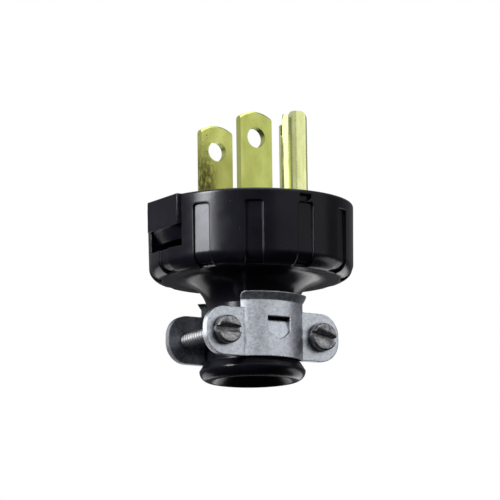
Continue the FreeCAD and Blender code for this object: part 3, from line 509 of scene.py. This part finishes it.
def softbox(name, azimuth, elevation, width, height, brightness, lit):
    """Rectangular light of a given brightness that faces the middle of the plug and lights one group."""
    light = bpy.data.lights.new(name, "AREA")
    light.shape = "RECTANGLE"
    light.size = width
    light.size_y = height
    light.energy = brightness * math.pi * width * height
    lamp = bpy.data.objects.new(name, light)
    lamp.location = Vector((0, 0, TARGET_HEIGHT)) + direction(azimuth, elevation) * LIGHT_DISTANCE
    lamp.rotation_mode = "QUATERNION"
    lamp.rotation_quaternion = direction(azimuth, elevation).to_track_quat("Z", "Y")
    lamp.visible_camera = False
    lamp.light_linking.receiver_collection = lit
    bpy.context.scene.collection.objects.link(lamp)


def make_world():
    """White behind the plug, and a soft sky that is darker below for light and reflections."""
    world = bpy.data.worlds.new("studio")
    bpy.context.scene.world = world
    world.use_nodes = True
    tree = world.node_tree
    sky = tree.nodes["Background"]
    ramp = tree.nodes.new("ShaderNodeValToRGB")
    low, high = ramp.color_ramp.elements
    level = ramp.color_ramp.elements.new(SKY_LEVEL_PLACE)
    for stop, grey in ((low, SKY_LOW), (level, SKY_LEVEL), (high, SKY_HIGH)):
        stop.color = (grey, grey, grey * SKY_BLUE, 1)
    low.position = SKY_LOW_PLACE
    high.position = SKY_HIGH_PLACE
    rise = tree.nodes.new("ShaderNodeMapRange")
    rise.inputs["From Min"].default_value = -1
    split = tree.nodes.new("ShaderNodeSeparateXYZ")
    tree.links.new(tree.nodes.new("ShaderNodeTexCoord").outputs["Generated"], split.inputs["Vector"])
    tree.links.new(split.outputs["Z"], rise.inputs["Value"])
    tree.links.new(rise.outputs["Result"], ramp.inputs["Fac"])
    tree.links.new(ramp.outputs["Color"], sky.inputs["Color"])
    white = tree.nodes.new("ShaderNodeBackground")
    white.inputs["Color"].default_value = BACKGROUND_WHITE
    both = tree.nodes.new("ShaderNodeMixShader")
    tree.links.new(tree.nodes.new("ShaderNodeLightPath").outputs["Is Camera Ray"], both.inputs["Fac"])
    tree.links.new(sky.outputs["Background"], both.inputs[1])
    tree.links.new(white.outputs["Background"], both.inputs[2])
    tree.links.new(both.outputs["Shader"], tree.nodes["World Output"].inputs["Surface"])


def make_floor():
    """Sheet under the plug that only the camera sees, so that it doesn't change the light on the plug."""
    height = CAD_LOW.z - FLOOR_DROP
    signs = ((-1, -1), (1, -1), (1, 1), (-1, 1))
    mesh = bpy.data.meshes.new("floor")
    mesh.from_pydata([(x * FLOOR_HALF, y * FLOOR_HALF, height) for x, y in signs], [], [(0, 1, 2, 3)])
    floor = bpy.data.objects.new("floor", mesh)
    bpy.context.scene.collection.objects.link(floor)
    paint(floor, pale_floor())
    floor.visible_diffuse = False
    floor.visible_glossy = False
    floor.visible_transmission = False
    floor.visible_shadow = False


def make_camera():
    """Camera that looks at the plug from the left and slightly below."""
    lens = bpy.data.cameras.new("camera")
    lens.lens = CAMERA_LENS
    lens.sensor_width = SENSOR_WIDTH
    lens.clip_start = CAMERA_CLIP
    camera = bpy.data.objects.new("camera", lens)
    bpy.context.scene.collection.objects.link(camera)
    back = direction(CAMERA_AZIMUTH, CAMERA_ELEVATION)
    side = direction(CAMERA_AZIMUTH + 90, 0)
    target = Vector((0, 0, TARGET_HEIGHT)) + side * TARGET_SHIFT
    level = Matrix((side, back.cross(side), back)).transposed()
    roll = Matrix.Rotation(math.radians(CAMERA_ROLL), 3, "Z")
    camera.matrix_world = Matrix.Translation(target + back * CAMERA_DISTANCE) @ (level @ roll).to_4x4()
    bpy.context.scene.camera = camera


# Rubber
SHELL_RUBBER = rubber("shell_rubber", gloss=0.21, edge_round=0.35)
CARRIER_PLASTIC = rubber("carrier_plastic", gloss=0.23, edge_round=0.15)

# Brass; the far blade is stained
BLADE_BRASS = brass("contact_brass", bright=(0.60, 0.65, 0.19), dull=(0.50, 0.54, 0.14), gloss=0.28)
STAINED_BRASS = brass(
    "stained_brass",
    bright=(0.68, 0.72, 0.22),
    dull=(0.56, 0.59, 0.16),
    gloss=0.3,
    stained=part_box("neutral_blade"),
)
PIN_BRASS = brass("pin_brass", bright=(0.90, 0.94, 0.46), dull=(0.74, 0.78, 0.33), gloss=0.19)

# Zinc of the clamp halves; the rear half has a darker copy of the zinc, which paints the shade that it
# lies in
ZINC = plated(
    "clamp_zinc",
    light=(0.80, 0.84, 0.90),
    dark=(0.52, 0.55, 0.60),
    worn_and_highlight=BRIGHT_WEAR_AND_HIGHLIGHT,
    softness=0.3,
    gloss=0.32,
    grime=0.2,
    edge_round=0.25,
)
# painted shade: the same zinc made darker, for the rear half that lies in shade
SHADED_ZINC_COPY = plated(
    "shaded_zinc_copy",
    light=(0.45, 0.47, 0.51),
    dark=(0.24, 0.25, 0.28),
    worn_and_highlight=BRIGHT_WEAR_AND_HIGHLIGHT,
    softness=0.3,
    gloss=0.36,
    grime=0.4,
    edge_round=0.25,
)

# Metals of the screws
STEEL = plated(
    "screw_steel",
    light=(0.44, 0.44, 0.45),
    dark=(0.14, 0.14, 0.15),
    worn_and_highlight=BRIGHT_WEAR_AND_HIGHLIGHT,
    softness=0.26,
    gloss=0.28,
    grime=0.5,
    edge_round=0.05,
    threaded=True,
)
CLEAN = {"softness": 0.25, "gloss": 0.25, "grime": 0.2, "edge_round": 0.1}
SCREW_BRASS = plated("screw_brass", (0.72, 0.58, 0.25), (0.55, 0.42, 0.16), YELLOW_WEAR_AND_HIGHLIGHT, **CLEAN)
SCREW_NICKEL = plated("screw_nickel", (0.70, 0.69, 0.66), (0.55, 0.54, 0.52), BRIGHT_WEAR_AND_HIGHLIGHT, **CLEAN)
SCREW_GREEN = plated("screw_green", (0.06, 0.34, 0.13), (0.03, 0.20, 0.08), GREEN_WEAR_AND_HIGHLIGHT, **CLEAN)

# Finish of each CAD node that stays, by what lights it
RUBBER_FINISHES = {
    "body_shell": SHELL_RUBBER,
    "contact_carrier": CARRIER_PLASTIC,
}
BRASS_FINISHES = {
    "line_blade": BLADE_BRASS,
    "neutral_blade": STAINED_BRASS,
    "ground_pin": PIN_BRASS,
    "ground_strap": BLADE_BRASS,
    "line_terminal_screw": SCREW_BRASS,
    "neutral_terminal_screw": SCREW_NICKEL,
    "ground_terminal_screw": SCREW_GREEN,
}
CLAMP_FINISHES = {
    "front_clamp_half": ZINC,
    "rear_clamp_half": SHADED_ZINC_COPY,
}
for finishes in (RUBBER_FINISHES, BRASS_FINISHES, CLAMP_FINISHES):
    for name, material in finishes.items():
        paint(NODES[name], material)

# Shapes
soften(NODES["contact_carrier"], CARRIER_EDGE, CARRIER_EDGE_ANGLE)
SCREWS = [threaded_screw(NODES[name], STEEL) for name in ("left_clamp_screw", "right_clamp_screw")]

# Groups of pieces that the softboxes light; the rear clamp half has fewer lights than the front one
RUBBER = [NODES[name] for name in RUBBER_FINISHES]
BRASS = [NODES[name] for name in BRASS_FINISHES]
CLAMP = [NODES["front_clamp_half"], *SCREWS]
REAR_CLAMP = [NODES["rear_clamp_half"]]
GROUPS = {
    "rubber": group("rubber_pieces", RUBBER),
    "brass": group("brass_pieces", BRASS),
    "clamp": group("clamp_pieces", CLAMP),
    "both_clamps": group("both_clamp_pieces", CLAMP + REAR_CLAMP),
    "front_metal": group("front_metal_pieces", CLAMP + BRASS),
    "metal": group("metal_pieces", CLAMP + BRASS + REAR_CLAMP),
    "all": None,
}

# Studio
make_world()
make_floor()
for name, (*settings, lit) in SOFTBOXES.items():
    softbox(name, *settings, GROUPS[lit])
make_camera()
bpy.context.scene.view_settings.view_transform = "Standard"
